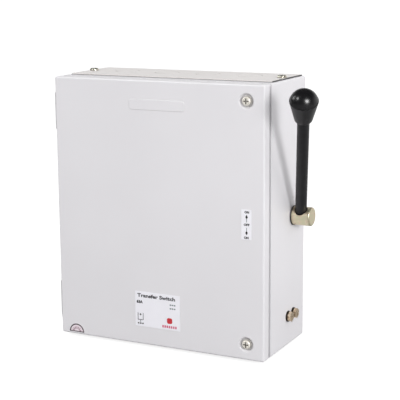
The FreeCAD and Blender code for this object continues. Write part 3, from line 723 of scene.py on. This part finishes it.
def print_rating_label():
    """Title, rating, contact symbol, and a red mark with bars in place of the small print."""
    label = Print("rating_label")
    label.text("title", "Transfer Switch", (2.8, 51.0), (2.5, 6.9), weight=0.038)
    label.text("rating", "63A", (2.0, 9.8), (10.4, 14.2), weight=0.06)
    label.row("note_1", 44.2, 2.6, 3, 1.9, (11.0, 12.5), GREY_INK)
    label.row("note_2", 44.2, 2.6, 3, 1.9, (15.2, 16.7), GREY_INK)
    left, right, line = 3.1, 10.4, 0.7
    middle, dot_radius = (left + right) / 2, 1.1
    label.bar("symbol_left", (left, left + line), (25.4, 33.6), BLACK_INK)
    label.bar("symbol_right", (right - line, right), (25.4, 33.6), BLACK_INK)
    label.bar("symbol_foot", (left, right), (33.0, 33.7), BLACK_INK)
    label.bar("symbol_stem", (middle - line / 2, middle + line / 2), (33.7, 36.2), BLACK_INK)
    dot = [(middle + dot_radius * math.cos(a), 27.2 + dot_radius * math.sin(a))
           for a in steps_round(16)]
    label.shape("symbol_dot", dot, BLACK_INK)
    label.row("symbol_mark", left, 2.8, 3, 1.8, (36.8, 38.4), BLACK_INK)
    label.shape("mark", rounded_square(43.8, 30.4, 6.6, 2.0), RED_INK)
    label.row("name_bar", 34.5, 2.7, 7, 1.9, (36.0, 38.8), ROSE_INK)


def print_position_label():
    """ON above and below, OFF in the middle, with an arrow each way."""
    label = Print("position_label")
    middle, half_stem, weight = 6.2, 0.35, 0.055
    stem = (middle - half_stem, middle + half_stem)
    label.text("upper_on", "ON", (3.8, 9.2), (1.6, 4.4), weight)
    label.shape("upper_arrow", arrow_head(middle, 5.7, 10.0), BLACK_INK)
    label.bar("upper_stem", stem, (10.0, 14.0), GREY_INK)
    label.text("off", "OFF", (2.9, 9.6), (15.3, 18.1), weight)
    label.bar("lower_stem", stem, (19.8, 23.8), GREY_INK)
    label.shape("lower_arrow", arrow_head(middle, 28.1, 23.8), BLACK_INK)
    label.text("lower_on", "ON", (3.2, 8.6), (29.4, 32.2), weight)


def print_badge():
    """Dark rim and plain ticks on the half-round sticker."""
    low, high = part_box("quality_badge")
    radius, rim_steps = (high.x - low.x) / 2 / MM, 32
    inner = radius - 1.3
    badge = Print("quality_badge")

    def polar(reach, angle):
        """Place at a distance from the middle of the sticker's straight edge."""
        return radius + reach * math.cos(angle), radius - reach * math.sin(angle)

    half_turn = [math.pi * i / rim_steps for i in range(rim_steps + 1)]
    rim = [polar(radius, math.pi - angle) for angle in half_turn]
    rim += [polar(inner, angle) for angle in half_turn]
    badge.shape("rim", rim, PLUM_INK)
    badge.bar("base_line", (radius - inner, radius + inner), (radius - 1.0, radius - 0.1),
              PLUM_INK)
    near, far, near_half, far_half = 3.6, 6.4, 0.153, 0.09  # reach in mm, half widths in radians
    for number, angle in enumerate(steps_round(7, math.pi / 8, 7 * math.pi / 8), start=1):
        tick = [polar(near, angle - near_half), polar(far, angle - far_half),
                polar(far, angle + far_half), polar(near, angle + near_half)]
        badge.shape("tick_%d" % number, tick, PINK_INK)


# ---------------------------------------------------------------- stage
FLOOR_DARK, FLOOR_PALE, FLOOR_ROUGHNESS = 0.33, 0.35, 0.9
FLOOR_REACH, FLOOR_DROP = 20.0, 0.2 * MM
FLOOR_SEEN, FLOOR_MIRRORED_BEHIND = 0.85, 0.40
WORLD_FILL, WORLD_SEEN = 0.67, 1.0
WORLD_MIRRORED, WORLD_MIRRORED_BEHIND = 0.08, 0.90
BEHIND = (0.1, 0.5)  # Y from beside the case to behind it, of a place in metres or a direction
LOW = (0.6, 0.3)     # Z of a direction, from high to low

LIGHT_DISTANCE = 1.5
# Each light is name, azimuth, elevation, width and power. Azimuth 0 is in front, 90 to the right.
SURFACE_LIGHTS = (
    ("key", 61, 16, 0.42, 9.9),
    ("front_left", -32, 33, 0.50, 5.0),
    ("front_low", 10, 0, 0.8, 0.9),
    ("far_left", -68, 25, 0.50, 1.2),
    ("right_fill", 105, 20, 1.2, 3.0),
    ("overhead", 30, 80, 0.8, 1.0),
)
HIGHLIGHTS = (
    ("key_window", 49, 21, 0.52, 17.5),
    ("left_window", -31, 39, 0.30, 5.2),
    ("far_left_window", -74, 32, 0.30, 3.9),
)

CAMERA_AZIMUTH, CAMERA_ELEVATION, CAMERA_ROLL = 26.609, 11.392, -0.418  # degrees
CAMERA_TARGET, CAMERA_DISTANCE = Vector((0.025972, -0.060, 0.01084)), 1.32477
LENS, SENSOR = 105.28, 36.0  # mm


def direction_to(azimuth, elevation):
    """Unit vector from the case towards a place at an azimuth and elevation in degrees."""
    a, e = math.radians(azimuth), math.radians(elevation)
    return Vector((math.sin(a) * math.cos(e), -math.cos(a) * math.cos(e), math.sin(e)))


def build_floor():
    """Pale floor under the case. It looks white, and throws only a little light back up."""
    surface = Surface("studio_floor")
    tone = surface.mottle(surface.noise(3.0), grey(FLOOR_DARK), grey(FLOOR_PALE))
    surface.finish(tone, FLOOR_ROUGHNESS)
    rays = surface.node("LightPath").outputs
    seen = surface.times(rays["Is Camera Ray"], FLOOR_SEEN)
    behind = surface.level(surface.along(surface.place, "Y"), BEHIND,
                           (0.0, FLOOR_MIRRORED_BEHIND))
    mirrored = surface.times(rays["Is Glossy Ray"], behind)
    strength = surface.maths("ADD", seen, mirrored)
    glow = surface.node("Emission", {"Color": WHITE, "Strength": strength}).outputs[0]
    shown = surface.node("AddShader", {0: surface.shader.outputs[0], 1: glow}).outputs[0]
    surface.put(shown, surface.tree.nodes["Material Output"].inputs["Surface"])
    bm = bmesh.new()
    bmesh.ops.create_grid(bm, x_segments=8, y_segments=8, size=FLOOR_REACH)
    mesh = mesh_from(bm, "floor")
    mesh.materials.append(surface.material)
    floor = add_object("floor", mesh)
    floor.location.z = cad_box[0].z - FLOOR_DROP


def build_world():
    """White backdrop to the camera, and softer light from all round to the object.

    In reflections the low part of the backdrop behind the case is bright, and the rest is dim.
    """
    world = bpy.data.worlds.new("studio")
    world.use_nodes = True
    world.cycles.sampling_method = "NONE"
    bpy.context.scene.world = world
    world.node_tree.nodes.clear()
    sky = Nodes(world.node_tree)

    def glow(strength):
        return sky.node("Background", {"Color": WHITE, "Strength": strength}).outputs[0]

    place = sky.node("TexCoord").outputs["Generated"]
    behind = sky.level(sky.along(place, "Y"), BEHIND, (0.0, 1.0))
    low = sky.level(sky.along(place, "Z"), LOW, (0.0, 1.0))
    mirrored = sky.level(sky.times(behind, low), (0.0, 1.0),
                         (WORLD_MIRRORED, WORLD_MIRRORED_BEHIND))
    rays = sky.node("LightPath").outputs
    shader = sky.blend(rays["Is Glossy Ray"], glow(WORLD_FILL), glow(mirrored))
    shader = sky.blend(rays["Is Camera Ray"], shader, glow(WORLD_SEEN))
    sky.node("OutputWorld", {"Surface": shader})


def softbox(name, azimuth, elevation, width, power, mirrored):
    """Round area light that faces the case.

    A mirrored one only makes highlights. Any other only lights the surfaces.
    """
    light = bpy.data.lights.new(name, "AREA")
    light.shape, light.size, light.energy = "DISK", width, power
    lamp = add_object(name, light)
    lamp.visible_glossy, lamp.visible_diffuse = mirrored, not mirrored
    away = direction_to(azimuth, elevation)
    lamp.location = (cad_box[0] + cad_box[1]) / 2 + away * LIGHT_DISTANCE
    lamp.rotation_euler = away.to_track_quat("Z", "Y").to_euler()


def build_camera():
    """Camera at the photograph's angle, aimed near the middle of the switch."""
    back = direction_to(CAMERA_AZIMUTH, CAMERA_ELEVATION)
    level_right = (-back).cross(Vector((0, 0, 1))).normalized()
    level_up = level_right.cross(-back)
    roll = math.radians(CAMERA_ROLL)
    right = math.cos(roll) * level_right + math.sin(roll) * level_up
    up = math.cos(roll) * level_up - math.sin(roll) * level_right
    camera = add_object("camera", bpy.data.cameras.new("camera"))
    camera.data.lens, camera.data.sensor_width = LENS, SENSOR
    camera.data.clip_end = 100.0
    turn = Matrix((right, up, back)).transposed().to_4x4()
    camera.matrix_world = Matrix.Translation(CAMERA_TARGET + back * CAMERA_DISTANCE) @ turn
    bpy.context.scene.camera = camera


paint_frame()
build_knob()
build_hub_shade_washer()
build_gland_shadow()
print_rating_label()
print_position_label()
print_badge()
build_camera()
build_floor()
build_world()
for light in SURFACE_LIGHTS:
    softbox(*light, mirrored=False)
for light in HIGHLIGHTS:
    softbox(*light, mirrored=True)
bpy.context.scene.view_settings.view_transform = "Standard"
